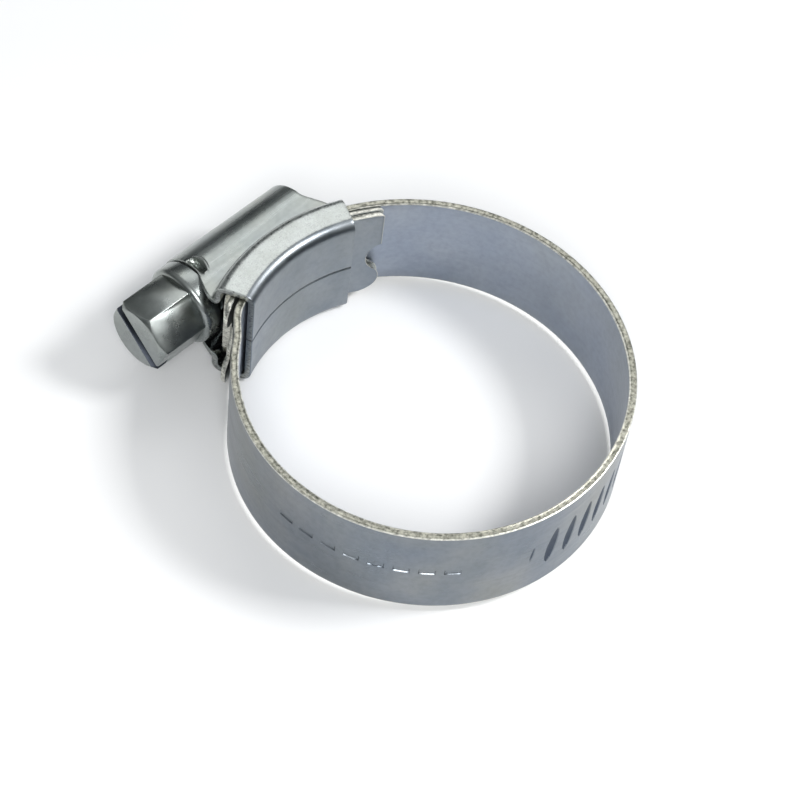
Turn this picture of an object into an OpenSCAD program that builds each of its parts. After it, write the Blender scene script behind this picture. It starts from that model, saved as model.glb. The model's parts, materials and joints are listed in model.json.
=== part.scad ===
// Worm-drive hose clip, all-steel pattern, in its fully open position.
// The hose axis is Z and the middle of the band's width is z = 0. The housing sits at +Y,
// and the worm screw lies along X with its head toward -X.
// The left half of the ring is centred on the origin. The right half, and every layer inside
// the housing, is centred on a point set off toward +Y, so that the slotted end of the band
// passes over the fixed end.

/* [Band] */
// Bore radius of the open ring
bore_r = 19; // [18.9:0.05:19.1]
// Width of the band
band_w = 11.7; // [11.5:0.1:11.9]
// Thickness of the band
band_t = 0.8; // [0.75:0.05:0.8]
// Offset of the slotted half of the ring toward the housing
centre_offset = 1.4; // [1.35:0.05:1.45]
// Angle where the rigid slotted end of the band gives way to the first flexing span
tail_root_angle = -1.35; // [-4:0.05:2]
// Angle where the slotted end of the band stops inside the housing
tail_tip_angle = 112; // [110:0.5:113]
// Number of flexing spans on the slotted half of the ring
right_spans = 2; // [2:1:2]
// Number of flexing spans on the plain half of the ring
left_spans = 4; // [4:1:4]

/* [Slots] */
// Angle between neighbouring slots
slot_step = 6.3; // [6.2:0.05:6.4]
// Width of one slot along the band
slot_w = 1.3; // [1.2:0.05:1.35]
// Length of one slot across the band
slot_len = 5; // [4.6:0.1:5.4]
// Depth of one slot
slot_depth = 0.5; // [0.45:0.05:0.5]
// Lean of the slots, which follows the lead of the worm
slot_lean = 6.3; // [5.5:0.1:7]
// Slots before and after the one under the middle of the worm
slots_before = 2; // [1:1:2]
slots_after = 31; // [28:1:31]

/* [Housing] */
// Half of the angle that the folded housing covers
housing_half_angle = 24; // [23.5:0.25:24.5]
// Half height of the folded housing along the hose axis
housing_half_h = 6.75; // [6.7:0.05:6.9]
// Thickness of the housing's strip
housing_t = 0.7; // [0.65:0.05:0.7]
// Length of the tube over the screw
tube_len = 15; // [14.5:0.1:15.2]
// Outer radius of the tube over the screw
tube_r = 4.5; // [4.45:0.05:4.6]
// Width of the seam where the two folded flanges meet
seam_w = 0.12; // [0.1:0.01:0.2]

/* [Saddle] */
// Thickness of the saddle
saddle_t = 0.55; // [0.5:0.05:0.55]
// Reach of the saddle's right tongue along X
tongue_reach = 11.4; // [11:0.1:11.6]
// Reach of the saddle's left ears along X
ear_reach = 10.2; // [9.6:0.1:10.3]

/* [Screw] */
// Size of the hexagon across its flats
hex_af = 7; // [6.9:0.05:7.05]
// Length of the hexagon head
hex_len = 5.7; // [5.4:0.1:6]
// Turn of the hexagon about the screw's axis at rest
hex_turn = 21; // [0:1:60]
// Turn of the screwdriver slot about the screw's axis at rest
slot_turn = -48; // [-90:1:90]
// Width of the screwdriver slot
driver_slot_w = 1.1; // [1:0.05:1.2]
// Depth of the screwdriver slot
driver_slot_d = 1.6; // [1.4:0.1:1.8]
// Radius of the collar behind the head
collar_r = 4.35; // [4.2:0.05:4.4]
// Outer radius of the worm thread
thread_r = 3.6; // [3.55:0.01:3.62]

/* [Hidden] */

$fn = 96;
// Air between neighbouring spans, each side of their joint
span_gap = 0.03;
// Running clearance between the sliding layers
slide_gap = 0.1;
// Extra length that makes a cutter pass right through
over = 1;
// Angle past a slot's middle within which it can still cut a sector
slot_reach = 3;
// Height of a prism that stands through the whole ring
through = 60;

// Ring radii about the origin
ring_out = bore_r + band_t;
ring_mid = bore_r + band_t / 2;
// Radii of the slotted half about its own centre
tail_in = bore_r + centre_offset;
tail_out = tail_in + band_t;
tail_mid = tail_in + band_t / 2;
// Layers under the slotted end, from outside in
saddle_out = tail_in - slide_gap;
saddle_in = saddle_out - saddle_t;
seat_gap = 0.05;
anchor_out = saddle_in - seat_gap;
anchor_in = anchor_out - band_t;
flange_out = 18.4;
flange_in = flange_out - housing_t;
roof_gap = 0.12;
roof_in = tail_out + roof_gap;
roof_out = roof_in + housing_t;
// Where the plain half of the band stops inside the housing
mouth_in = 18.64;
plain_end_angle = 105.5;
joggle_start = 127;
joggle_end = 114;
// Fixed end of the band inside the housing
anchor_start_angle = 102.5;
// The curved plates are cut from a sector between these two angles
plate_from = 40;
plate_to = 140;

// Housing mouths
right_mouth = 90 - housing_half_angle;
left_mouth = 90 + housing_half_angle;
inner_half_h = housing_half_h - housing_t - seat_gap;
fold_r = 1.2;
fold_in_r = 0.5;
// Room for the slotted end under the tube, past the mouths
clear_angle = 20;
clear_h = 5;
clear_t = 3 * over;

// Tongue at the right mouth: round lobe below, notch under the middle
tongue_lobe_r = 2.2;
tongue_notch_r = 2.4;
tongue_notch_x = 1.1;
tongue_notch_z = -0.6;
tongue_step = 0.5;
// Ears at the left mouth
ear_lobe_r = 1.5;
ear_overhang = 0.2;
ear_notch_r = 2.9;
ear_notch_x = 0.6;

// Worm and tube
thread_bite = 0.45;
screw_y = centre_offset + tail_out - thread_bite + thread_r;
thread_pitch = tail_mid * slot_step * PI / 180;
thread_root_r = 2.75;
thread_half_root = 0.6;
thread_half_crest = 0.32;
thread_half_len = 5.9;
thread_ring_step = 15;
bore_of_tube = thread_r + 0.15;
throat_half = 3.7;
groove_r = 2.5;
groove_start = -tube_len / 2 - 0.15;
groove_end = -6.1;
collar_len = 2.1;
head_start = groove_start - collar_len;
pip_r = 0.5;
pip_angle = 85;
pip_bottom = groove_r + 0.35;
pip_top = tube_r - 0.2;
pip_x = -6.775;

function joint_angle(i) = i <= right_spans
    ? tail_root_angle - i * (tail_root_angle + 90) / right_spans
    : -90 - (i - right_spans) * (270 - plain_end_angle) / left_spans;

function slot_angle(k) = k * slot_step <= 180
    ? 90 - k * slot_step
    : -90 - (k * slot_step - 180) * tail_mid / ring_mid;

function smooth(t) = t <= 0 ? 0 : t >= 1 ? 1 : t * t * (3 - 2 * t);

// Distance from the origin to a circle of radius r about the slotted half's centre
function seen_from_origin(r, a) =
    centre_offset * sin(a) + sqrt(r * r - pow(centre_offset * cos(a), 2));

// Radius of the plain half near the mouth, where it steps outward into the housing
function joggle_r(a, plain_r, inside_r) =
    let (t = smooth((joggle_start - a) / (joggle_start - joggle_end)))
    (1 - t) * plain_r + t * seen_from_origin(inside_r, a);

// Ring sector of rectangular section between two angles
module sector(r_in, r_out, from, to, half_h) {
    rotate([0, 0, from])
        rotate_extrude(angle = to - from)
            translate([r_in, -half_h])
                square([r_out - r_in, 2 * half_h]);
}

// Slab section with rounded corners, drawn in the radius and height plane
module rounded_section(r_in, r_out, half_h, corner) {
    translate([r_in, corner - half_h])
        square([r_out - r_in, 2 * (half_h - corner)]);
    translate([r_in + corner, -half_h])
        square([r_out - r_in - 2 * corner, 2 * half_h]);
    for (r = [r_in + corner, r_out - corner])
        for (h = [corner - half_h, half_h - corner])
            translate([r, h])
                circle(r = corner);
}

module rounded_sector(r_in, r_out, from, to, half_h, corner) {
    rotate([0, 0, from])
        rotate_extrude(angle = to - from)
            rounded_section(r_in, r_out, half_h, corner);
}

module about_slotted_centre() {
    translate([0, centre_offset, 0])
        children();
}

// One pressed slot, cut by a thin disc that dips into the band's outer face
module slot_cutter(k) {
    a = slot_angle(k);
    right = k * slot_step <= 180;
    face_r = right ? tail_out : ring_out;
    disc_r = (slot_len * slot_len / 4 + slot_depth * slot_depth) / (2 * slot_depth);
    translate([0, right ? centre_offset : 0, 0])
        rotate([0, 0, a])
            translate([face_r + disc_r - slot_depth, 0, 0])
                rotate([90 - slot_lean, 0, 0])
                    cylinder(r = disc_r, h = slot_w, center = true);
}

// Cuts every slot whose middle lies within reach of the sector between two angles
module slots_between(from, to) {
    for (k = [-slots_before:slots_after])
        if (slot_angle(k) > from - slot_reach && slot_angle(k) < to + slot_reach)
            slot_cutter(k);
}

// Cylinder along X on the screw's axis
module screw_rod(r, from, to, r_far = -1) {
    translate([from, screw_y, 0])
        rotate([0, 90, 0])
            cylinder(r1 = r, r2 = r_far < 0 ? r : r_far, h = to - from);
}

// Folded strip: inner flanges, round shoulders, and the tube over the screw
module housing() {
    color("silver")
        difference() {
            union() {
                about_slotted_centre()
                    rounded_sector(
                        flange_in, roof_out, right_mouth, left_mouth, housing_half_h, fold_r
                    );
                screw_rod(tube_r, -tube_len / 2, tube_len / 2);
                translate([-tube_len / 2, tail_out, -tube_r])
                    cube([tube_len, screw_y - tail_out, 2 * tube_r]);
            }
            about_slotted_centre() {
                rounded_sector(
                    flange_out, roof_in, right_mouth - over, left_mouth + over, inner_half_h, fold_in_r
                );
                sector(
                    flange_in - over, flange_out + over / 2,
                    right_mouth - over, left_mouth + over, seam_w / 2
                );
                intersection() {
                    sector(
                        roof_in - clear_t, roof_in,
                        right_mouth - clear_angle, left_mouth + clear_angle, inner_half_h
                    );
                    translate([-tube_len, roof_in - clear_h, -housing_half_h])
                        cube([2 * tube_len, clear_h, 2 * housing_half_h]);
                }
            }
            screw_rod(bore_of_tube, -tube_len, tube_len);
            translate([-tube_len, saddle_out, -throat_half])
                cube([2 * tube_len, screw_y - saddle_out, 2 * throat_half]);
        }
    color("silver")
        retaining_pip();
}

// Staked dimple that holds the screw by its groove
module retaining_pip() {
    translate([pip_x, screw_y, 0])
        rotate([pip_angle, 0, 0])
            translate([0, pip_bottom, 0])
                rotate([-90, 0, 0])
                    cylinder(r = pip_r, h = pip_top - pip_bottom);
}

// Outline of the two-layer tongue at the right mouth, seen along Y
module tongue_outline(reach) {
    half_w = band_w / 2;
    difference() {
        union() {
            translate([0, -half_w])
                square([reach - tongue_lobe_r, band_w]);
            square([reach, half_w]);
            translate([reach - tongue_lobe_r, tongue_lobe_r - half_w])
                circle(r = tongue_lobe_r);
        }
        translate([reach + tongue_notch_x, tongue_notch_z])
            circle(r = tongue_notch_r);
    }
}

// Outline of the two ears at the left mouth, seen along Y
module ears_outline(reach) {
    half_w = band_w / 2;
    difference() {
        union() {
            translate([ear_lobe_r - reach, -half_w])
                square([reach - ear_lobe_r, band_w]);
            for (side = [-1, 1])
                translate([ear_lobe_r - reach, side * (half_w + ear_overhang - ear_lobe_r)])
                    circle(r = ear_lobe_r);
        }
        translate([-reach - ear_notch_x, 0])
            circle(r = ear_notch_r);
    }
}

module standing_outline() {
    rotate([90, 0, 0])
        linear_extrude(height = through, center = true)
            children();
}

// Curved plate between the fixed end of the band and the slotted end
module saddle() {
    color("gainsboro")
        intersection() {
            about_slotted_centre()
                sector(saddle_in, saddle_out, plate_from, plate_to, housing_half_h);
            standing_outline() {
                tongue_outline(tongue_reach);
                ears_outline(ear_reach);
            }
        }
}

// Fixed end of the band, held in the housing with its tongue showing at the right mouth
module band_anchor() {
    color("lightgray")
        intersection() {
            about_slotted_centre()
                sector(anchor_in, anchor_out, plate_from, anchor_start_angle, band_w / 2);
            standing_outline()
                union() {
                    tongue_outline(tongue_reach - tongue_step);
                    translate([-ear_reach, -band_w / 2])
                        square([ear_reach, band_w]);
                }
        }
}

// Helical ridge of the worm: one four-point section every few degrees of turn
module worm_thread() {
    turn = 360 * thread_half_len / thread_pitch;
    steps = 2 * floor(turn / thread_ring_step);
    run_out = 90;
    foot_r = thread_root_r - 0.2;
    start_r = thread_root_r - 0.1;
    points = [
        for (i = [0:steps])
            let (
                a = -turn + i * 2 * turn / steps,
                x = thread_pitch * a / 360,
                fade = min(1, (turn - abs(a)) / run_out),
                crest = start_r + (thread_r - start_r) * fade
            )
            for (p = [
                [-thread_half_root, foot_r],
                [thread_half_root, foot_r],
                [thread_half_crest, crest],
                [-thread_half_crest, crest]
            ])
                [x + p[0], p[1] * cos(180 + a), p[1] * sin(180 + a)]
    ];
    sides = [
        for (i = [0:steps - 1], s = [0:3])
            let (here = 4 * i + s, beside = 4 * i + (s + 1) % 4)
            for (face = [[here, beside + 4, beside], [here, here + 4, beside + 4]])
                face
    ];
    last = 4 * steps;
    ends = [[0, 1, 2], [0, 2, 3], [last + 2, last + 1, last], [last + 3, last + 2, last]];
    translate([0, screw_y, 0])
        polyhedron(points = points, faces = concat(sides, ends), convexity = 8);
}

// Hexagon head with a screwdriver slot, collar, retaining groove and worm
module worm_screw() {
    hex_r = hex_af / 2 / cos(30);
    end_x = head_start - hex_len;
    end_r = hex_af / 2 - 0.1;
    chamfer_rise = 7;
    collar_edge = 0.5;
    tip_len = 0.5;
    tip_x = thread_half_len + tip_len;
    fuse = 0.2;
    color("darkgray") {
        difference() {
            intersection() {
                translate([end_x, screw_y, 0])
                    rotate([hex_turn, 0, 0])
                        rotate([0, 90, 0])
                            cylinder(r = hex_r, h = hex_len + fuse, $fn = 6);
                screw_rod(end_r, end_x, head_start + fuse, end_r + chamfer_rise);
            }
            translate([end_x + driver_slot_d / 2 - over / 2, screw_y, 0])
                rotate([slot_turn, 0, 0])
                    cube([driver_slot_d + over, driver_slot_w, 3 * hex_af], center = true);
        }
        screw_rod(collar_r - collar_edge, head_start, head_start + collar_edge, collar_r);
        screw_rod(collar_r, head_start + collar_edge, groove_start);
        screw_rod(groove_r, groove_start - fuse, groove_end + fuse);
        screw_rod(thread_root_r, groove_end, tip_x);
        screw_rod(thread_root_r, tip_x, tip_x + tip_len, thread_root_r - tip_len);
        worm_thread();
    }
}

// Slotted end of the band, which the worm draws through the housing
module band_tail() {
    color("lightsteelblue")
        difference() {
            about_slotted_centre()
                sector(tail_in, tail_out, tail_root_angle + span_angle(tail_in), tail_tip_angle, band_w / 2);
            slots_between(tail_root_angle, tail_tip_angle);
        }
}

function span_angle(r) = span_gap / r * 180 / PI;

// Stretch of the plain half that steps outward and enters the left mouth
module joggled_stretch() {
    steps = 22;
    angles = [for (i = [0:steps]) joggle_start + i * (plain_end_angle - joggle_start) / steps];
    inner = [for (a = angles) joggle_r(a, bore_r, mouth_in) * [cos(a), sin(a)]];
    outer = [for (a = angles) joggle_r(a, ring_out, mouth_in + band_t) * [cos(a), sin(a)]];
    translate([0, 0, -band_w / 2])
        linear_extrude(height = band_w)
            polygon(concat(inner, [for (i = [steps:-1:0]) outer[i]]));
}

// One flexing span of the ring, counted from the slotted end round to the left mouth
module band_span(i) {
    last = i == right_spans + left_spans;
    from = last ? joggle_start - 360 : joint_angle(i) + span_angle(bore_r);
    to = joint_angle(i - 1) - span_angle(bore_r);
    on_right = i <= right_spans;
    color("lightsteelblue") {
        difference() {
            if (on_right)
                about_slotted_centre()
                    sector(tail_in, tail_out, from, to, band_w / 2);
            else
                sector(bore_r, ring_out, from, to, band_w / 2);
            slots_between(from, to);
        }
        if (last)
            joggled_stretch();
    }
}

housing();
saddle();
band_anchor();
worm_screw();
band_tail();
for (i = [1:right_spans + left_spans])
    band_span(i);
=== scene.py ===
"""Looks of an all-steel worm-drive hose clip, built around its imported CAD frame.

Lengths in this script are in millimetres and turn into metres when a mesh is made. The hose axis is Z,
the housing sits at +Y and the worm screw lies along X with its head toward -X. Angles along the band run
from the slotted tip inside the housing, down the right side, round the front and up to the left mouth.
"""

import json
import math

import bmesh
import bpy
import numpy as np
from mathutils import Matrix, Vector, noise


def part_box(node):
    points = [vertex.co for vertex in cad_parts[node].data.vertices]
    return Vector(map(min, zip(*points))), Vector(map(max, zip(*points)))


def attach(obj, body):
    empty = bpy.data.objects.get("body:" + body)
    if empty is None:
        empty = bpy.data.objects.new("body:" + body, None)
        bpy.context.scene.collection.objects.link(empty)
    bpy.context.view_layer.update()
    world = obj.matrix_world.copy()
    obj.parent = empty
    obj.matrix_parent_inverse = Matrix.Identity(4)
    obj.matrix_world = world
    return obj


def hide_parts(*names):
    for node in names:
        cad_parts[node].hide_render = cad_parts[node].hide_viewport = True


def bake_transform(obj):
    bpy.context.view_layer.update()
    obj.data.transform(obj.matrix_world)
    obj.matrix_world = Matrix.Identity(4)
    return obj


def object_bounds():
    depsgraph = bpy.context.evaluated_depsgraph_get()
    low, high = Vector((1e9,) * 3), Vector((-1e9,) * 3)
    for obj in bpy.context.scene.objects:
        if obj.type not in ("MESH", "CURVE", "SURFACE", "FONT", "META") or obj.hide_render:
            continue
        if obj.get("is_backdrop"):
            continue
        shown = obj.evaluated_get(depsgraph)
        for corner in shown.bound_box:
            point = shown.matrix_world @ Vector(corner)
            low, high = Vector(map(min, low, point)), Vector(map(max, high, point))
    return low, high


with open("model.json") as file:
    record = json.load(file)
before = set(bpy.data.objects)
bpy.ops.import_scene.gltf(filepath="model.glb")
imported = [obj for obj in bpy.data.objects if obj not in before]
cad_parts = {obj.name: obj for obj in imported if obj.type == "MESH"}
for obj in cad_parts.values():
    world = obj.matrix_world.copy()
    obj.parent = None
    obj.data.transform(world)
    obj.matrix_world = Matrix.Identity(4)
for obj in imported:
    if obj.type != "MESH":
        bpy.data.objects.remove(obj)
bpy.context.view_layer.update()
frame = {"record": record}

MM = 0.001
MOUNTS = {m["name"]: m for m in frame["record"]["mounts"]}

# Band
BORE_R = MOUNTS["hose_bore"]["dims"]["r_mm"]
BAND_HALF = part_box("band_tail")[1].z / MM
BAND_T = 0.8
OFFSET = 1.4
TAIL_R = BORE_R + OFFSET
TIP_ANGLE = 112.0
ROOT_ANGLE = -1.35
HALF_TURN = -90.0
END_ANGLE = -254.5
RIGHT_SPANS = 2
LEFT_SPANS = 4
# The last stretch steps outward into the left mouth, between these two angles about the origin
JOGGLE_START, JOGGLE_END = 127.0, 114.0
MOUTH_R = 18.64
TIP_CORNER = 2.4

# Slots. The last one is only partly pressed
SLOT_STEP = 6.3
SLOT_HALF_W = 0.68
SLOT_HALF_LEN = 2.75
SLOT_DEPTH = 0.46
SLOT_LEAN = math.tan(math.radians(6.3))
FIRST_SLOT, LAST_SLOT = -2, 31
LAST_SLOT_W, LAST_SLOT_LEN, LAST_SLOT_DEPTH = 0.32, 0.45, 0.35
# Every slot lies above this angle, and every stamped dash below it
SLOTS_END = -125.0

# Housing
MOUTH_HALF = 24.0
FLANGE_R = 18.05
ROOF_R = 21.67
WALL_Z = 6.4
SHEET_T = 0.7
BEND_R = 0.85
FILLET_R = 0.75
TUBE_HALF_LEN = 7.5
TUBE_R = 4.14
SEAM_HALF = 0.06
SCREW_Y = MOUNTS["screw_drive"]["pos_m"][1] / MM

# Screw
HEAD_END = MOUNTS["screw_drive"]["pos_m"][0] / MM
HEX_AF = 7.0
HEX_TURN = 21.0
SLOT_TURN = -48.0
COLLAR_R = 4.35
COLLAR_START, COLLAR_END = -9.75, -7.65
PITCH = (TAIL_R + BAND_T / 2) * math.radians(SLOT_STEP)


def smooth(t):
    """Eases from 0 to 1 as t goes from 0 to 1, and stays level beyond."""
    t = np.clip(t, 0.0, 1.0)
    return t * t * (3 - 2 * t)


# ---------------------------------------------------------------- meshes


def make_object(name, points, faces, materials, indices=None, sharp=38.0):
    """A mesh object from points in millimetres. Edges sharper than the angle stay crisp."""
    mesh = bpy.data.meshes.new(name)
    mesh.from_pydata([tuple(float(c) * MM for c in p) for p in points], [], faces)
    for m in materials:
        mesh.materials.append(m)
    if indices is not None:
        mesh.polygons.foreach_set("material_index", indices)
    skin = bmesh.new()
    skin.from_mesh(mesh)
    bmesh.ops.recalc_face_normals(skin, faces=skin.faces)
    skin.to_mesh(mesh)
    skin.free()
    mesh.shade_smooth()
    mesh.set_sharp_from_angle(angle=math.radians(sharp))
    mesh.update()
    obj = bpy.data.objects.new(name, mesh)
    bpy.context.scene.collection.objects.link(obj)
    return obj


def loft(name, rings, materials, side_index, cap_index=0, sharp=38.0, special=None):
    """A closed skin over rings of equal length, with a cap at both ends.

    side_index says which material each side of a ring takes, and special gives single faces their
    own by (ring, side).
    """
    special = special or {}
    rings = np.asarray(rings, float)
    count, size = rings.shape[:2]
    faces, indices = [], []
    for i in range(count - 1):
        for j in range(size):
            k = (j + 1) % size
            faces.append((i * size + j, i * size + k, (i + 1) * size + k, (i + 1) * size + j))
            indices.append(special.get((i, j), side_index[j]))
    faces.append(tuple(range(size))[::-1])
    faces.append(tuple((count - 1) * size + j for j in range(size)))
    indices += [cap_index, cap_index]
    return make_object(name, rings.reshape(-1, 3), faces, materials, indices, sharp)


def ripple(point, scale, seed):
    """Smooth noise from -1 to 1 at a point, for small unevenness."""
    return noise.noise(Vector([c * scale for c in point]) + Vector((seed, 0, 0)))


# ---------------------------------------------------------------- materials


class Nodes:
    """A short way to write a material's node tree."""

    def __init__(self, name):
        self.material = bpy.data.materials.new(name)
        self.material.use_nodes = True
        self.tree = self.material.node_tree
        self.shader = self.tree.nodes["Principled BSDF"]

    def add(self, kind, settings=None, **links):
        node = self.tree.nodes.new(kind)
        for key, value in (settings or {}).items():
            if hasattr(node, key):
                setattr(node, key, value)
            else:
                node.inputs[key].default_value = value
        for key, value in links.items():
            self.tree.links.new(value, node.inputs[key.replace("_", " ")])
        return node

    def noise(self, coordinates, scale, detail=3.0, stretch=(1, 1, 1), rough=0.55):
        """Noise whose features are about 1000 / scale millimetres across, drawn out along the axes."""
        mapped = self.add("ShaderNodeMapping", {"Scale": stretch}, Vector=coordinates)
        settings = {"Scale": scale, "Detail": detail, "Roughness": rough}
        fog = self.add("ShaderNodeTexNoise", settings, Vector=mapped.outputs["Vector"])
        return fog.outputs["Fac"]

    def ramp(self, value, stops):
        node = self.add("ShaderNodeValToRGB", Fac=value)
        elements = node.color_ramp.elements
        while len(elements) < len(stops):
            elements.new(0.5)
        for element, (place, colour) in zip(elements, stops):
            element.position = place
            element.color = (*colour, 1)
        return node.outputs["Color"]

    def spread(self, value, low, high):
        """Carries a value from its usual noise range to low..high."""
        settings = {"From Min": 0.3, "From Max": 0.7, "To Min": low, "To Max": high}
        return self.add("ShaderNodeMapRange", settings, Value=value).outputs["Result"]

    def mix(self, factor, a, b, mode="MIX"):
        node = self.tree.nodes.new("ShaderNodeMix")
        node.data_type = "RGBA"
        node.blend_type = mode
        for socket, value in zip((node.inputs[0], node.inputs[6], node.inputs[7]), (factor, a, b)):
            if isinstance(value, (int, float)):
                socket.default_value = value
            elif isinstance(value, tuple):
                socket.default_value = (*value, 1)
            else:
                self.tree.links.new(value, socket)
        return node.outputs[2]

    def bump(self, height, strength, distance, normal=None):
        settings = {"Strength": strength, "Distance": distance * MM}
        node = self.add("ShaderNodeBump", settings, Height=height)
        if normal is not None:
            self.tree.links.new(normal, node.inputs["Normal"])
        return node.outputs["Normal"]


def zinc(name, dark, light, roughness, lines=(1, 1, 1), line_bump=0.25, grit=0.15, stain=0.25):
    """Bright zinc plate: mottled colour, rolling lines, fine grit and faint passivation stains."""
    n = Nodes(name)
    here = n.add("ShaderNodeTexCoord").outputs["Object"]
    cloud = n.noise(here, 140, 4)
    speck = n.noise(here, 1600, 5)
    rolled = n.noise(here, 500, 4, lines)
    plate = n.ramp(cloud, [(0.3, dark), (0.72, light)])
    blue, plain, straw = (0.74, 0.80, 0.92), (0.95, 0.95, 0.95), (0.97, 0.93, 0.80)
    tint = n.ramp(n.noise(here, 90, 3), [(0.35, blue), (0.52, plain), (0.68, straw)])
    plate = n.mix(stain, plate, tint, "MULTIPLY")
    specks = n.ramp(speck, [(0.32, (0.72, 0.72, 0.72)), (0.6, (1, 1, 1))])
    plate = n.mix(0.35, plate, specks, "MULTIPLY")
    n.tree.links.new(plate, n.shader.inputs["Base Color"])
    rough = n.add("ShaderNodeMath", {"operation": "ADD"})
    n.tree.links.new(n.spread(cloud, roughness - 0.06, roughness + 0.06), rough.inputs[0])
    n.tree.links.new(n.spread(rolled, -0.05, 0.05), rough.inputs[1])
    n.tree.links.new(rough.outputs[0], n.shader.inputs["Roughness"])
    normal = n.bump(rolled, line_bump, 0.03)
    normal = n.bump(speck, grit, 0.02, normal)
    normal = n.bump(n.noise(here, 260, 2), 0.12, 0.12, normal)
    n.tree.links.new(normal, n.shader.inputs["Normal"])
    n.shader.inputs["Metallic"].default_value = 1.0
    return n.material


def sheared_zinc(name, bright, dull, roughness, relief=0.5):
    """The burred, torn metal of a sheared edge or a worked fold. On the band's rims and the housing's
    fold its bright colour is a painted highlight.
    """
    n = Nodes(name)
    here = n.add("ShaderNodeTexCoord").outputs["Object"]
    torn = n.noise(here, 2600, 6, (1, 1, 2.2), 0.62)
    coarse = n.noise(here, 420, 3)
    colour = n.ramp(torn, [(0.36, dull), (0.6, bright)])
    patches = n.ramp(coarse, [(0.35, (0.82, 0.82, 0.8)), (0.6, (1, 1, 1))])
    colour = n.mix(0.5, colour, patches, "MULTIPLY")
    n.tree.links.new(colour, n.shader.inputs["Base Color"])
    n.tree.links.new(n.spread(torn, roughness - 0.08, roughness + 0.1), n.shader.inputs["Roughness"])
    normal = n.bump(torn, relief, 0.06)
    normal = n.bump(coarse, 0.3, 0.1, normal)
    n.tree.links.new(normal, n.shader.inputs["Normal"])
    n.shader.inputs["Metallic"].default_value = 1.0
    return n.material


# How the rolling lines are drawn out: even, round the band, or along the screw
EVEN = (1, 1, 1)
ROUND_BAND = (0.25, 0.25, 7)
ALONG_SCREW = (0.2, 5, 5)
# The band's two faces are one zinc strip in two tones: the darker outer face is painted shade, the
# lighter bluish inner face a painted reflection
band_outer_painted_shade = zinc(
    "zinc_band_outer", (0.20, 0.225, 0.245), (0.29, 0.305, 0.32), 0.33, ROUND_BAND, 0.22, 0.12, 0.6
)
band_inner_painted_reflection = zinc(
    "zinc_band_inner", (0.30, 0.335, 0.39), (0.38, 0.415, 0.475), 0.40, ROUND_BAND, 0.12, 0.08, 0.3
)
# Sheared edge: the rim faces at the edge's corners take this colour, brighter than the torn middle, as a
# painted highlight over the sheared metal
band_edge_painted_highlight = sheared_zinc("zinc_band_edge", (0.90, 0.89, 0.81), (0.46, 0.46, 0.41), 0.34)
band_tear = sheared_zinc("zinc_band_tear", (0.62, 0.61, 0.52), (0.17, 0.17, 0.14), 0.38)
# Slot floors: near-black colour that is painted shade in the recesses
slot_floor_painted_shade = zinc(
    "zinc_slot_painted_shade", (0.07, 0.085, 0.11), (0.12, 0.135, 0.16), 0.36, EVEN, 0.2, 0.2, 0.4
)
housing_zinc = zinc(
    "zinc_housing", (0.30, 0.325, 0.305), (0.42, 0.44, 0.42), 0.30, ALONG_SCREW, 0.12, 0.12, 0.4
)
# Flanges: the housing's zinc in a darker, bluish tone that is painted shade
flange_painted_shade = zinc(
    "zinc_flange_painted_shade", (0.215, 0.24, 0.26), (0.30, 0.325, 0.35), 0.36, EVEN, 0.1, 0.12, 0.4
)
# Upper fold: a brighter rough colour that is a painted highlight along the fold
fold_painted_highlight = sheared_zinc("zinc_fold_painted_highlight", (0.54, 0.57, 0.55), (0.38, 0.40, 0.39), 0.30, 0.22)
cut_zinc = sheared_zinc("zinc_cut", (0.42, 0.44, 0.43), (0.16, 0.17, 0.17), 0.4)
saddle_zinc = zinc(
    "zinc_saddle", (0.34, 0.36, 0.34), (0.48, 0.49, 0.46), 0.38, EVEN, 0.1, 0.18, 0.3
)
screw_zinc = zinc(
    "zinc_screw_head", (0.27, 0.295, 0.29), (0.38, 0.405, 0.395), 0.29, EVEN, 0.06, 0.16, 0.3
)
# Screwdriver slot: near-black colour that is painted shade in the recess
screw_slot_painted_shade = zinc(
    "zinc_screw_slot_painted_shade", (0.05, 0.06, 0.08), (0.09, 0.10, 0.12), 0.45, EVEN, 0.2, 0.3, 0.3
)


# ---------------------------------------------------------------- band


def seen_from_origin(radius, degrees):
    """Distance from the origin to a circle about the slotted half's centre."""
    a = math.radians(degrees)
    return OFFSET * math.sin(a) + math.sqrt(radius**2 - (OFFSET * math.cos(a)) ** 2)


def joint_angle(i):
    """Angle of the ring's i-th flexing joint, counted from the slotted end."""
    if i <= RIGHT_SPANS:
        return ROOT_ANGLE + i * (HALF_TURN - ROOT_ANGLE) / RIGHT_SPANS
    return HALF_TURN + (i - RIGHT_SPANS) * (END_ANGLE - HALF_TURN) / LEFT_SPANS


def inner_radius(degrees):
    """Radius of the band's inner face, about the centre of the half that the angle falls in."""
    if degrees >= HALF_TURN:
        return TAIL_R
    about_origin = degrees + 360
    t = float(smooth((JOGGLE_START - about_origin) / (JOGGLE_START - JOGGLE_END)))
    if t == 0:
        return BORE_R
    return (1 - t) * BORE_R + t * seen_from_origin(MOUTH_R, about_origin)


def band_point(degrees, above, z):
    """A point that lies a distance above the band's inner face."""
    a = math.radians(degrees)
    r = inner_radius(degrees) + above
    return r * math.cos(a), r * math.sin(a) + (OFFSET if degrees >= HALF_TURN else 0), z


def slot_angle(k):
    """Angle of the k-th slot, counted from the one under the middle of the worm."""
    if k * SLOT_STEP <= 180:
        return 90 - k * SLOT_STEP
    return HALF_TURN - (k * SLOT_STEP - 180) * (TAIL_R + BAND_T / 2) / (BORE_R + BAND_T / 2)


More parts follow.
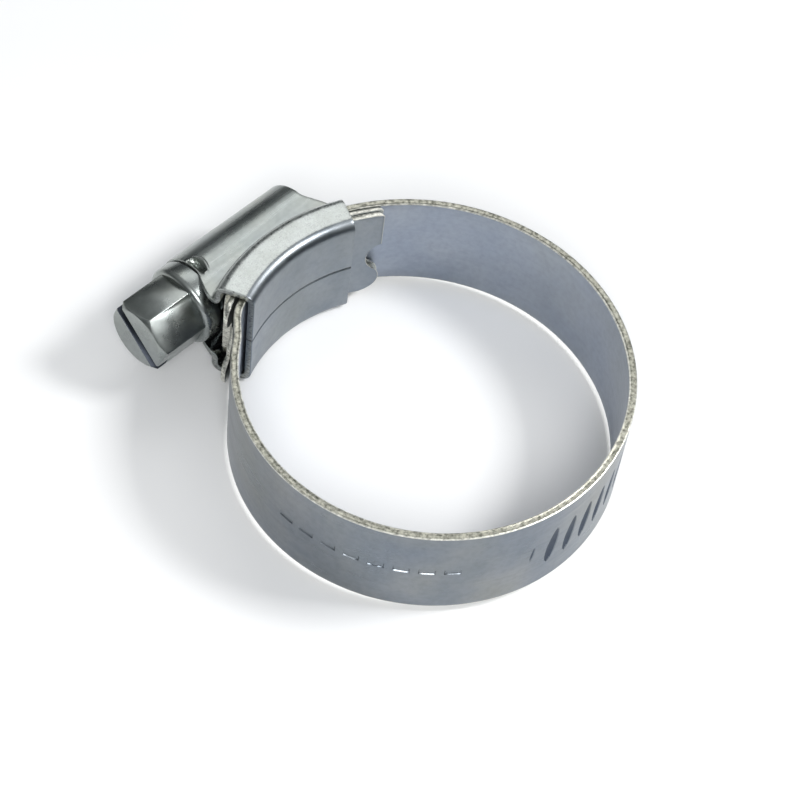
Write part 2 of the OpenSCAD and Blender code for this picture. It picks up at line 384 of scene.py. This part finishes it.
# Across a slot: place in half widths, with the steep wall first, and share of the depth there
SLOT_SHAPE = [(1.0, 0), (0.86, 0.86), (0.7, 1), (0.3, 1), (-0.1, 0.97)]
SLOT_SHAPE += [(-0.45, 0.82), (-0.7, 0.5), (-0.88, 0.18), (-1, 0)]
DASH_SHAPE = [(1.0, 0), (0.86, 1), (0.4, 1), (-0.4, 1), (-0.86, 1), (-1, 0)]
# Plain stamped dashes in place of the size marking
DASH_ANGLES = [-130 - 7.2 * i for i in range(8)]
DASH_HALF_LEN = 0.85
DASH_HALF_H = 0.34
DASH_DEPTH = 0.1
DASH_Z = 0.2


def slot_column(k, place, depth):
    """Angle and depth of one column of a slot, as functions of the height."""
    partly = k == LAST_SLOT
    weak = LAST_SLOT_W if partly else 1.0
    length = SLOT_HALF_LEN * (LAST_SLOT_LEN if partly else 1.0)
    share = LAST_SLOT_DEPTH if partly else 1.0

    def column(z):
        t = abs(z) / length
        leaf = math.sqrt(max(0.0, 1 - t * t)) * (1 - 0.25 * max(0.0, z) / length)
        half = max(0.05, SLOT_HALF_W * leaf * weak)
        along = place * half - SLOT_LEAN * max(-length, min(length, z))
        dip = depth * SLOT_DEPTH * max(0.0, 1 - t * t) ** 0.7 * share
        return math.degrees(along / (TAIL_R + BAND_T)), dip

    return column


def dash_column(place, depth):
    """Angle and depth of one column of a stamped dash, as functions of the height."""

    def column(z):
        inside = abs(z - DASH_Z) < DASH_HALF_H - 0.01
        return math.degrees(place * DASH_HALF_LEN / (BORE_R + BAND_T)), depth * DASH_DEPTH * inside

    return column


def band_columns(high, low):
    """Columns of the band's outer face from one angle down to another: (angle, shape or None)."""
    step = 0.7
    stamped = []
    for k in range(FIRST_SLOT, LAST_SLOT + 1):
        for place, depth in SLOT_SHAPE[::-1]:
            stamped.append((slot_angle(k), place, slot_column(k, place, depth), SLOT_HALF_W))
    for a in DASH_ANGLES:
        for place, depth in DASH_SHAPE[::-1]:
            stamped.append((a, place, dash_column(place, depth), DASH_HALF_LEN))
    columns = []
    for angle, place, shape, half in stamped:
        here = angle - math.degrees(place * half / (BORE_R + BAND_T))
        if low < here < high:
            columns.append((here, angle, shape))
    taken = sorted({c[1] for c in columns}, reverse=True)
    halves = {a: SLOT_HALF_W if a > SLOTS_END else DASH_HALF_LEN for a in taken}
    reach = {a: 0.5 + math.degrees(halves[a] / (BORE_R + BAND_T)) for a in taken}
    count = round((high - low) / step)
    for i in range(count + 1):
        a = high + (low - high) * i / count
        if i in (0, count) or all(abs(a - b) > reach[b] for b in taken):
            columns.append((a, None, None))
    columns.sort(key=lambda c: -c[0])
    return columns


# Height of the rounded rim, and rows across the inner face
EDGE = 0.11
INNER_ROWS = 9
# Half height of the rows that the slots need. Beyond it the columns run straight
STAMPED_HALF = 3.0
# Materials of a band piece, in order
OUTER, INNER, RIM, TORN, SLOT_FLOOR_SHADE = range(5)
# Depth past which a slot's floor shows dark: painted shade in the recess
SLOT_SHADE = 0.07


def band_rows(with_dashes):
    """Heights of the outer face's rows."""
    rows = list(np.linspace(-STAMPED_HALF, STAMPED_HALF, 25)) + [-5.4, -4.6, -3.7, 3.7, 4.6, 5.4]
    if with_dashes:
        for side in (-1, 1):
            rows += [DASH_Z + side * (DASH_HALF_H - 0.02), DASH_Z + side * (DASH_HALF_H + 0.05)]
    return sorted(rows)


def band_ring(column, rows, high, rounded_tip):
    """One ring of the band's skin: outer face, burred top edge, inner face, burred bottom edge."""
    angle, centre, shape = column
    half = BAND_HALF
    if rounded_tip:
        into = math.radians(high - angle) * (TAIL_R + BAND_T)
        if into < TIP_CORNER:
            half = BAND_HALF - TIP_CORNER + math.sqrt(TIP_CORNER**2 - (TIP_CORNER - into) ** 2)
    squeeze = half / BAND_HALF
    ring = []
    for z in [-half + EDGE, *[r * squeeze for r in rows], half - EDGE]:
        if shape is None:
            ring.append(band_point(angle, BAND_T, z))
        else:
            shift, dip = shape(z / squeeze)
            at_edge = smooth((abs(z) - STAMPED_HALF) / (BAND_HALF - STAMPED_HALF))
            place = (centre - shift) * (1 - at_edge) + angle * at_edge
            ring.append(band_point(place, BAND_T - dip, z))
    burr = 0.035 * ripple((angle * 0.6, 0, 0), 1.3, 3) + 0.02 * ripple((angle, 0, 0), 3.1, 8)
    rim = [
        (BAND_T - 0.03, 0.035),
        (BAND_T - 0.12, 0.0),
        (BAND_T * 0.58, 0.05 + burr),
        (BAND_T * 0.36, 0.06 + burr),
        (0.14, 0.0),
        (0.03, 0.03),
    ]
    ring += [band_point(angle, above, half - below) for above, below in rim]
    ring += [band_point(angle, 0.0, z) for z in np.linspace(half - EDGE, -half + EDGE, INNER_ROWS)]
    ring += [band_point(angle, above, below - half) for above, below in rim[::-1]]
    return ring


def band_piece(name, high, low, rounded_tip=False):
    """A stretch of the band between two angles."""
    rows = band_rows(any(low < a < high for a in DASH_ANGLES))
    columns = band_columns(high, low)
    rings = [band_ring(c, rows, high, rounded_tip) for c in columns]
    # The corner rim faces carry the painted highlight
    edge = [RIM, RIM, TORN, TORN, TORN, RIM, RIM]
    side = [OUTER] * (len(rows) + 1) + edge + [INNER] * (INNER_ROWS - 1) + edge
    # Faces deep in a slot take the dark floor, painted shade in the recess
    pressed = {}
    for i, (here, beside) in enumerate(zip(columns, columns[1:])):
        if here[1] is None or here[1] != beside[1] or here[1] < SLOTS_END:
            continue
        for j, z in enumerate(rows[:-1]):
            middle = (z + rows[j + 1]) / 2
            if here[2](middle)[1] + beside[2](middle)[1] > 2 * SLOT_SHADE:
                pressed[i, j + 1] = SLOT_FLOOR_SHADE
    materials = [band_outer_painted_shade, band_inner_painted_reflection, band_edge_painted_highlight, band_tear, slot_floor_painted_shade]
    obj = loft(name, rings, materials, side, RIM, 30, pressed)
    return obj


def between_slots(degrees):
    """The nearest angle on the slotted half that falls midway between two slots."""
    return 90 - (round((90 - degrees) / SLOT_STEP - 0.5) + 0.5) * SLOT_STEP


def band():
    """The strip: a rigid slotted end, six stretches that each span one joint, and a rigid plain end."""
    count = RIGHT_SPANS + LEFT_SPANS
    middles = [(joint_angle(i) + joint_angle(i + 1)) / 2 for i in range(count)]
    cuts = [2 * joint_angle(0) - middles[0], *middles]
    cuts = [between_slots(a) if a > HALF_TURN else a for a in cuts]
    strip = band_piece("band_slotted_end", TIP_ANGLE, cuts[0], True)
    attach(strip, "band_tail")
    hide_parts("band_tail")
    bodies = ["band_tail", *[f"band_span_{i}" for i in range(1, count + 1)]]
    for i in range(count):
        strip = band_piece(f"band_stretch_{i + 1}", cuts[i], cuts[i + 1])
        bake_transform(strip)
        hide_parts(bodies[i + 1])
    strip = band_piece("band_plain_end", cuts[-1], END_ANGLE)
    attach(strip, bodies[-1])
    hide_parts(bodies[-1])


# ---------------------------------------------------------------- housing


def arc(centre_y, centre_z, radius, start, end, count):
    """Points of an arc in the Y and Z plane. Angles run from -Y toward +Z."""
    for a in np.linspace(math.radians(start), math.radians(end), count):
        yield centre_y - radius * math.cos(a), centre_z + radius * math.sin(a)


def half_section():
    """Middle line of the folded strip at x = 0, from the seam over the fold up to the tube's top."""
    flange_y = OFFSET + FLANGE_R
    roof_y = OFFSET + ROOF_R
    bend_z = WALL_Z - BEND_R
    line = [(flange_y, z) for z in [SEAM_HALF, 0.17, *np.linspace(0.6, bend_z - 0.2, 12)]]
    line += arc(flange_y + BEND_R, bend_z, BEND_R, 0, 90, 9)
    line += [(y, WALL_Z) for y in np.linspace(flange_y + BEND_R + 0.3, roof_y - BEND_R - 0.3, 4)]
    line += arc(roof_y - BEND_R, bend_z, BEND_R, 90, 180, 9)
    line += [(roof_y, bend_z - 0.25), (roof_y, TUBE_R + FILLET_R + 0.2)]
    line += [
        (roof_y + FILLET_R - FILLET_R * math.cos(a), TUBE_R + FILLET_R - FILLET_R * math.sin(a))
        for a in np.linspace(0, math.pi / 2, 7)
    ]
    line += [(y, TUBE_R) for y in np.linspace(roof_y + FILLET_R + 0.2, SCREW_Y - 0.12, 12)]
    fine = list(np.linspace(0, 24, 18)) + list(np.linspace(29, 90, 13))
    turns = [math.radians(a) for a in fine]
    line += [(SCREW_Y + TUBE_R * math.sin(a), TUBE_R * math.cos(a)) for a in turns]
    return line


# Staked dimple near the tube's head end: its middle, half width, depth and steep wall
STAKE_ALONG = 0.3
STAKE_HALF_W = 1.0
STAKE_DEPTH = 0.72
STAKE_WALL_X = -6.3
# Materials of the housing, in order
PLATE, FLANGE, FOLD, CUT = range(4)


def stake_depth(x, across):
    """How far the tube's sheet is pressed in at the stake, and how far its lip stands up behind it."""
    side = across / STAKE_HALF_W
    if abs(side) >= 1.25:
        return 0.0
    wall = STAKE_WALL_X - 0.4 * side * side
    crown = max(0.0, 1 - side * side)
    if x < wall:
        slope = float(smooth((x + TUBE_HALF_LEN) / (wall + TUBE_HALF_LEN - 0.25)))
        return STAKE_DEPTH * crown**0.6 * (0.15 + 0.85 * slope)
    return -0.13 * math.exp(-(((x - wall - 0.16) / 0.14) ** 2)) * max(0.0, 1 - (side / 1.2) ** 2)


def housing():
    """One folded strip: flanges butted at a seam, rounded shoulders, and the tube over the screw."""
    half = half_section()
    line = np.array(half + [(y, -z) for y, z in half[-2::-1]])
    step = np.gradient(line, axis=0)
    step /= np.linalg.norm(step, axis=1)[:, None]
    outward = np.stack([-step[:, 1], step[:, 0]], 1)
    length = np.concatenate([[0], np.cumsum(np.linalg.norm(np.diff(line, axis=0), axis=1))])
    tube_start = next(i for i, (y, z) in enumerate(half) if y >= SCREW_Y)
    across = length - length[tube_start] - STAKE_ALONG
    raised = smooth((line[:, 0] - (OFFSET + ROOF_R + 0.2)) / (SCREW_Y - OFFSET - ROOF_R - 0.2))
    fine_end = -5.6 / TUBE_HALF_LEN
    lip = 0.1 / TUBE_HALF_LEN
    stations = [-1.0, -1 + lip / 2, *np.linspace(-1 + lip, fine_end, 28)]
    stations += [*np.linspace(fine_end, 1 - lip, 44)[1:], 1 - lip / 2, 1.0]
    rings = []
    for u in stations:
        at_end = (1 - abs(u)) / lip
        thin = 1.0 if at_end >= 1 else 0.7 + 0.3 * math.sqrt(max(0.0, 1 - (1 - at_end) ** 2))
        angle = math.radians(MOUTH_HALF * u)
        ring = []
        for side in (1, -1):
            skin = []
            for i, (y, z) in enumerate(line):
                at_seam = min(i, len(line) - 1 - i) == 0
                offset = side * SHEET_T / 2 * thin * (0.72 if at_seam else 1.0)
                py = y + outward[i, 0] * offset
                pz = z + outward[i, 1] * offset
                b = raised[i]
                x = (1 - b) * (py - OFFSET) * math.sin(angle) + b * TUBE_HALF_LEN * u
                fy = (1 - b) * (OFFSET + (py - OFFSET) * math.cos(angle)) + b * py
                press = stake_depth(x, across[i]) if b > 0.5 and u < fine_end else 0.0
                skin.append((x, fy - outward[i, 0] * press, pz - outward[i, 1] * press))
            ring += skin if side > 0 else skin[::-1]
        rings.append(ring)
    count = len(line)
    # Faces below the fold take the flange's painted shade, faces on it the fold's painted highlight
    fold_from, fold_to = OFFSET + FLANGE_R + 0.6, OFFSET + ROOF_R + 0.1
    outer = []
    for y, z in line[:-1]:
        on_fold = abs(z) > WALL_Z - BEND_R and fold_from < y < fold_to
        outer.append(FLANGE if y < fold_from else FOLD if on_fold else PLATE)
    side = outer + [CUT] + [PLATE] * (count - 1) + [CUT]
    shell = housing_skin(rings, count, side)
    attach(shell, "housing")
    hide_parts("housing")


def housing_skin(rings, count, side):
    """The folded strip's faces: a skin round every station, and a strip at both mouths' cut edges."""
    rings = np.asarray(rings, float)
    total, size = rings.shape[:2]
    faces, indices = [], []
    for i in range(total - 1):
        for j in range(size):
            k = (j + 1) % size
            faces.append((i * size + j, i * size + k, (i + 1) * size + k, (i + 1) * size + j))
            indices.append(side[j])
    for i, flip in ((0, True), (total - 1, False)):
        for j in range(count - 1):
            face = (i * size + j, i * size + j + 1, (i + 1) * size - 2 - j, (i + 1) * size - 1 - j)
            faces.append(face[::-1] if flip else face)
            indices.append(CUT)
    materials = [housing_zinc, flange_painted_shade, fold_painted_highlight, cut_zinc]
    return make_object("housing_shell", rings.reshape(-1, 3), faces, materials, indices, 40)


# ---------------------------------------------------------------- saddle and fixed end


def curved_plate(name, r_in, r_out, left, right, flare, materials):
    """A plate bent about the slotted half's centre, whose ends are given as functions of the height."""
    bevel, columns, flare_from, flare_len = 0.1, 49, -7.8, 0.9
    heights = [-BAND_HALF, -BAND_HALF + bevel / 2]
    heights += [*np.linspace(-BAND_HALF + bevel, BAND_HALF - bevel, 61)]
    heights += [BAND_HALF - bevel / 2, BAND_HALF]
    rings = []
    for z in heights:
        near_edge = (BAND_HALF - abs(z)) / bevel
        round_off = 1 - math.sqrt(max(0.0, 1 - (1 - near_edge) ** 2))
        inset = 0.0 if near_edge >= 1 else bevel * round_off
        a, b = left(z), right(z)
        middle = (r_in + r_out) / 2
        across = [a + bevel + (b - a - 2 * bevel) * t for t in np.linspace(0, 1, columns)]
        loop = [(x, r_out - inset) for x in across]
        corner = max(inset, 0.04)
        loop += [(b - 0.03, r_out - corner), (b, middle), (b - 0.03, r_in + corner)]
        loop += [(x, r_in + inset) for x in across[::-1]]
        loop += [(a + 0.03, r_in + corner), (a, middle), (a + 0.03, r_out - corner)]
        ring = []
        for x, r in loop:
            lift = 1 + flare * float(smooth((flare_from - x) / flare_len))
            ring.append((x, OFFSET + math.sqrt(r * r - x * x), z * lift))
        rings.append(ring)
    side = ([0] * (columns - 1) + [1] * 4) * 2
    return loft(name, rings, materials, side, 1, 40)


def tongue_end(reach):
    """Right end of the two-layer tongue: square above, a notch below the middle and a round lobe."""

    def end(z):
        lobe_r, notch_r, notch_x, notch_z = 2.2, 2.4, 1.1, -0.6
        x = reach
        if z < 0:
            low = z + BAND_HALF - lobe_r
            x = reach - lobe_r + math.sqrt(max(0.0, lobe_r**2 - low**2))
            if low > 0:
                x = max(x, reach - lobe_r * float(smooth(low / lobe_r)) * 0.4)
        inside = notch_r**2 - (z - notch_z) ** 2
        if inside > 0:
            x = min(x, reach + notch_x - math.sqrt(inside))
        return x

    return end


def ear_end(z):
    """Left end of the saddle: two round ears with a notch between them."""
    lobe_r, lobe_z, lobe_x = 1.5, 4.45, -8.7
    notch_r, notch_x = 2.9, -10.8
    lobe = lobe_x - math.sqrt(max(0.0, lobe_r**2 - (abs(z) - lobe_z) ** 2))
    notch = notch_x + math.sqrt(max(0.0, notch_r**2 - z * z))
    return max(lobe, notch)


def saddle():
    """The saddle and, under it, the band's fixed end."""
    # The saddle's ends take the rim's painted highlight
    finish = [saddle_zinc, band_edge_painted_highlight]
    plate = curved_plate("saddle_plate", 19.75, 20.3, ear_end, tongue_end(11.4), 0.02, finish)
    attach(plate, "housing")
    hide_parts("saddle")
    fixed_x = -19.3 * math.sin(math.radians(12.5))
    # The fixed end's faces take the flange's painted shade and its ends the rim's painted highlight
    strip = curved_plate(
        "band_fixed_end", 18.9, 19.7, lambda z: fixed_x, tongue_end(10.9), 0.0, [flange_painted_shade, band_edge_painted_highlight]
    )
    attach(strip, "housing")
    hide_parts("band_anchor")


# ---------------------------------------------------------------- screw


def turned(name, profile, segments, material, turn=0.0):
    """A solid turned about the screw's axis from a list of (x, radius)."""
    angles = [2 * math.pi * i / segments + math.radians(turn) for i in range(segments)]
    rings = [[(x, SCREW_Y + r * math.cos(a), r * math.sin(a)) for a in angles] for x, r in profile]
    return loft(name, rings, [material], [0] * segments, 0, 35)


def combine(target, other, operation):
    """Cuts or joins other into target for good, and removes other."""
    m = target.modifiers.new("combine", "BOOLEAN")
    m.operation = operation
    m.solver = "EXACT"
    m.material_mode = "TRANSFER"
    m.object = other
    apply_modifiers(target)
    bpy.data.objects.remove(other)


def apply_modifiers(obj):
    """Turns an object's modifiers into its mesh."""
    bpy.context.view_layer.update()
    graph = bpy.context.evaluated_depsgraph_get()
    mesh = bpy.data.meshes.new_from_object(
        obj.evaluated_get(graph), preserve_all_data_layers=True, depsgraph=graph
    )
    obj.modifiers.clear()
    obj.data = mesh


def soften(obj, width, segments=2, angle=28):
    """Rounds an object's edges."""
    m = obj.modifiers.new("soften", "BEVEL")
    m.width = width * MM
    m.segments = segments
    m.limit_method = "ANGLE"
    m.angle_limit = math.radians(angle)
    m.harden_normals = True
    m.miter_outer = "MITER_ARC"
    apply_modifiers(obj)


def screw_head():
    """Chamfered hexagon with a screwdriver slot across its end."""
    slot_w, slot_d = 1.1, 1.6
    corner = HEX_AF / 2 / math.cos(math.radians(30))
    prism = [(HEAD_END, corner), (COLLAR_START + 0.05, corner)]
    head = turned("screw_head", prism, 6, screw_zinc, HEX_TURN + 30)
    front = HEX_AF / 2 - 0.1
    back = HEX_AF / 2 + 0.12
    # Rise of the chamfer over its length, as in the CAD's cone
    slope = 1.19
    middle = (HEAD_END + COLLAR_START) / 2
    cone = [
        (HEAD_END - 0.001, front),
        (middle, front + slope * (middle - HEAD_END)),
        (COLLAR_START - 0.35, back + 1.2),
        (COLLAR_START + 0.1, back),
    ]
    combine(head, turned("cone", cone, 96, screw_zinc), "INTERSECT")
    cut = bpy.data.objects.new("cut", bpy.data.meshes.new("cut"))
    a = math.radians(SLOT_TURN)
    along = np.array([0, -math.sin(a), math.cos(a)])
    wide = np.array([0, math.cos(a), math.sin(a)])
    corners = []
    for x in (HEAD_END - 1, HEAD_END + slot_d):
        for s, w in ((-1, -1), (1, -1), (1, 1), (-1, 1)):
            corners.append(np.array([x, SCREW_Y, 0]) + along * s * HEX_AF + wide * w * slot_w / 2)
    faces = [(0, 1, 2, 3), (7, 6, 5, 4), (4, 5, 1, 0), (5, 6, 2, 1), (6, 7, 3, 2), (7, 4, 0, 3)]
    cut.data.from_pydata([tuple(c * MM) for c in corners], [], faces)
    # The cut hands its painted shade to the slot's faces
    cut.data.materials.append(screw_slot_painted_shade)
    bpy.context.scene.collection.objects.link(cut)
    combine(head, cut, "DIFFERENCE")
    soften(head, 0.13, 3)
    head.data.set_sharp_from_angle(angle=math.radians(50))
    return head


def screw_collar():
    """Bevelled collar with a small fillet toward the hexagon."""
    profile = [(COLLAR_START, 0.4), (COLLAR_START, 3.3), (COLLAR_START + 0.02, 3.62)]
    profile += [
        (COLLAR_START + 0.62 - 0.62 * math.cos(a), 3.73 + (COLLAR_R - 3.73) * math.sin(a))
        for a in np.linspace(0.12, math.pi / 2, 9)
    ]
    profile += [(COLLAR_END - 0.2, COLLAR_R), (COLLAR_END - 0.07, COLLAR_R - 0.03)]
    profile += [(COLLAR_END, COLLAR_R - 0.14), (COLLAR_END, 2.4), (COLLAR_END, 0.4)]
    return turned("screw_collar", profile, 120, screw_zinc)


def screw_worm():
    """Groove, shank and worm as one skin whose radius follows the thread."""
    groove_r, groove_end, root_r, crest_r = 2.5, -6.1, 2.75, 3.6
    thread_half_len, end_x = 5.9, 6.9
    flank, crest = 0.6, 0.32
    segments, tip = 72, 0.35
    shank = np.arange(COLLAR_END - 0.05, end_x - tip, 0.11)
    xs = np.concatenate([shank, np.linspace(end_x - tip, end_x, 5)])
    rings = []
    for x in xs:
        ring = []
        base = groove_r + (root_r - groove_r) * float(smooth((x - groove_end + 0.1) / 0.2))
        base -= tip * max(0.0, (x - end_x + tip) / tip) ** 2
        fade = float(smooth((thread_half_len - abs(x)) / 0.9))
        for i in range(segments):
            a = 2 * math.pi * i / segments
            along = (x - PITCH * (a - math.pi) / (2 * math.pi)) % PITCH
            away = min(along, PITCH - along)
            rise = float(np.clip((flank - away) / (flank - crest), 0, 1))
            r = base + (crest_r - root_r) * fade * smooth(rise)
            ring.append((x, SCREW_Y + r * math.cos(a), r * math.sin(a)))
        rings.append(ring)
    return loft("screw_worm", rings, [screw_zinc], [0] * segments, 0, 35)


def screw():
    """The worm screw, whose three pieces turn together."""
    pieces = [screw_head(), screw_collar(), screw_worm()]
    for piece in pieces:
        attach(piece, "screw")
    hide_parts("worm_screw")


# ---------------------------------------------------------------- stage


def floor():
    """A plain pale floor that the clip lies on."""
    size, drop = 4.0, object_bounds()[0].z
    mesh = bpy.data.meshes.new("floor")
    corners = [(-size, -size, drop), (size, -size, drop), (size, size, drop), (-size, size, drop)]
    mesh.from_pydata(corners, [], [(0, 1, 2, 3)])
    plane = bpy.data.objects.new("floor", mesh)
    bpy.context.scene.collection.objects.link(plane)
    n = Nodes("floor_pale")
    here = n.add("ShaderNodeTexCoord").outputs["Object"]
    tone = n.ramp(n.noise(here, 30, 2), [(0.3, (0.86, 0.865, 0.87)), (0.7, (0.9, 0.9, 0.9))])
    n.tree.links.new(tone, n.shader.inputs["Base Color"])
    n.shader.inputs["Roughness"].default_value = 0.8
    mesh.materials.append(n.material)
    plane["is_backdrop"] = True


def area_light(name, place, size, power):
    """A soft panel that faces the ring's middle. Place is in millimetres."""
    data = bpy.data.lights.new(name, "AREA")
    data.shape = "RECTANGLE"
    data.size, data.size_y = size[0] * MM, size[1] * MM
    data.energy = power
    light = bpy.data.objects.new(name, data)
    light.location = Vector(place) * MM
    light.rotation_mode = "QUATERNION"
    light.rotation_quaternion = (-light.location).to_track_quat("-Z", "Y")
    bpy.context.scene.collection.objects.link(light)


def sky():
    """A studio that is bright overhead and dim near the horizon."""
    world = bpy.data.worlds.new("studio")
    world.use_nodes = True
    tree = world.node_tree
    upward = tree.nodes.new("ShaderNodeSeparateXYZ")
    tree.links.new(tree.nodes.new("ShaderNodeTexCoord").outputs["Generated"], upward.inputs[0])
    ramp = tree.nodes.new("ShaderNodeValToRGB")
    tree.links.new(upward.outputs["Z"], ramp.inputs["Fac"])
    stops = [(0.0, (0.05, 0.055, 0.065)), (0.22, (0.10, 0.11, 0.12))]
    stops += [(0.5, (0.30, 0.32, 0.33)), (0.9, (0.62, 0.64, 0.66))]
    elements = ramp.color_ramp.elements
    while len(elements) < len(stops):
        elements.new(0.5)
    for element, (place, colour) in zip(elements, stops):
        element.position = place
        element.color = (*colour, 1)
    background = tree.nodes["Background"]
    tree.links.new(ramp.outputs["Color"], background.inputs["Color"])
    background.inputs["Strength"].default_value = 0.75
    bpy.context.scene.world = world


def lights():
    """Three soft panels and the sky, shown through a plain view transform."""
    area_light("light_key", (235, -225, 360), (130, 130), 1.5)
    area_light("light_fill", (-260, -200, 330), (200, 200), 1.3)
    area_light("light_back", (230, 200, 360), (260, 220), 0.28)
    sky()
    bpy.context.scene.view_settings.view_transform = "Standard"


def camera():
    """Looks down on the clip from the front left, as it is usually shown."""
    azimuth, elevation, roll = (math.radians(a) for a in (-53.4, 53.05, 8.5))
    distance, lens, aim_right, aim_up = 231.3, 104.4, -2.75, 0.54
    level = Vector((math.cos(azimuth), math.sin(azimuth), 0))
    flat = Vector((-math.sin(azimuth), math.cos(azimuth), 0))
    forward = flat * math.cos(elevation) - Vector((0, 0, math.sin(elevation)))
    up = level.cross(forward)
    right = level * math.cos(roll) + up * math.sin(roll)
    up = up * math.cos(roll) - level * math.sin(roll)
    data = bpy.data.cameras.new("camera")
    data.lens = lens
    data.sensor_width = 36
    data.clip_start, data.clip_end = 0.01, 10
    cam = bpy.data.objects.new("camera", data)
    place = (right * aim_right + up * aim_up - forward * distance) * MM
    rows = (
        (right.x, up.x, -forward.x, place.x),
        (right.y, up.y, -forward.y, place.y),
        (right.z, up.z, -forward.z, place.z),
        (0, 0, 0, 1),
    )
    cam.matrix_world = Matrix(rows)
    bpy.context.scene.collection.objects.link(cam)
    bpy.context.scene.camera = cam


band()
housing()
saddle()
screw()
floor()
lights()
camera()
